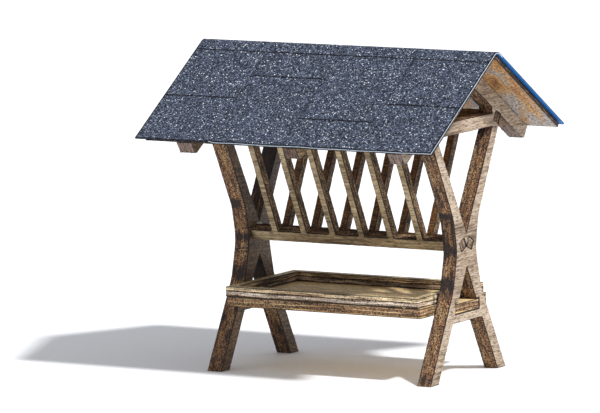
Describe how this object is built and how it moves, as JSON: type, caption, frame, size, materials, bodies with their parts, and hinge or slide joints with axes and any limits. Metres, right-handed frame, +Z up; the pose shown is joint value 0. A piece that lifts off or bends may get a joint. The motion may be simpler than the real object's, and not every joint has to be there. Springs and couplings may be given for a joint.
{
  "type": "hay rack feeder scale model",
  "caption": "Small plywood model of a roofed hay feeder: splayed end frames, a V of slatted racks over a feed tray, and a gritty folded roof covering.",
  "frame": {"origin": "on the ground, under the middle of the roof covering", "axes": "+X along the ridge to the right of someone facing the front, +Y from the front to the back, +Z up"},
  "size_m": [0.105, 0.0842, 0.1012],
  "materials": {
    "frame_ply": "raw five-ply sheet, scorched laser-cut edges",
    "rack_ply": "raw three-ply sheet, scorched laser-cut edges",
    "tray_ply": "raw three-ply sheet, scorched laser-cut edges",
    "roof_board_ply": "raw thin ply, dark cut edges",
    "roof_covering_grit": "gritty mineral coat on a blue backing sheet"
  },
  "bodies": {
    "root": {"end_frame_left": "frame_ply", "end_frame_right": "frame_ply", "middle_truss": "frame_ply", "rack_panel_front": "rack_ply", "rack_panel_back": "rack_ply", "tray_floor": "tray_ply", "tray_rim": "tray_ply", "roof_board_front": "roof_board_ply", "roof_board_back": "roof_board_ply", "roof_covering": "roof_covering_grit"}
  },
  "joints": []
}
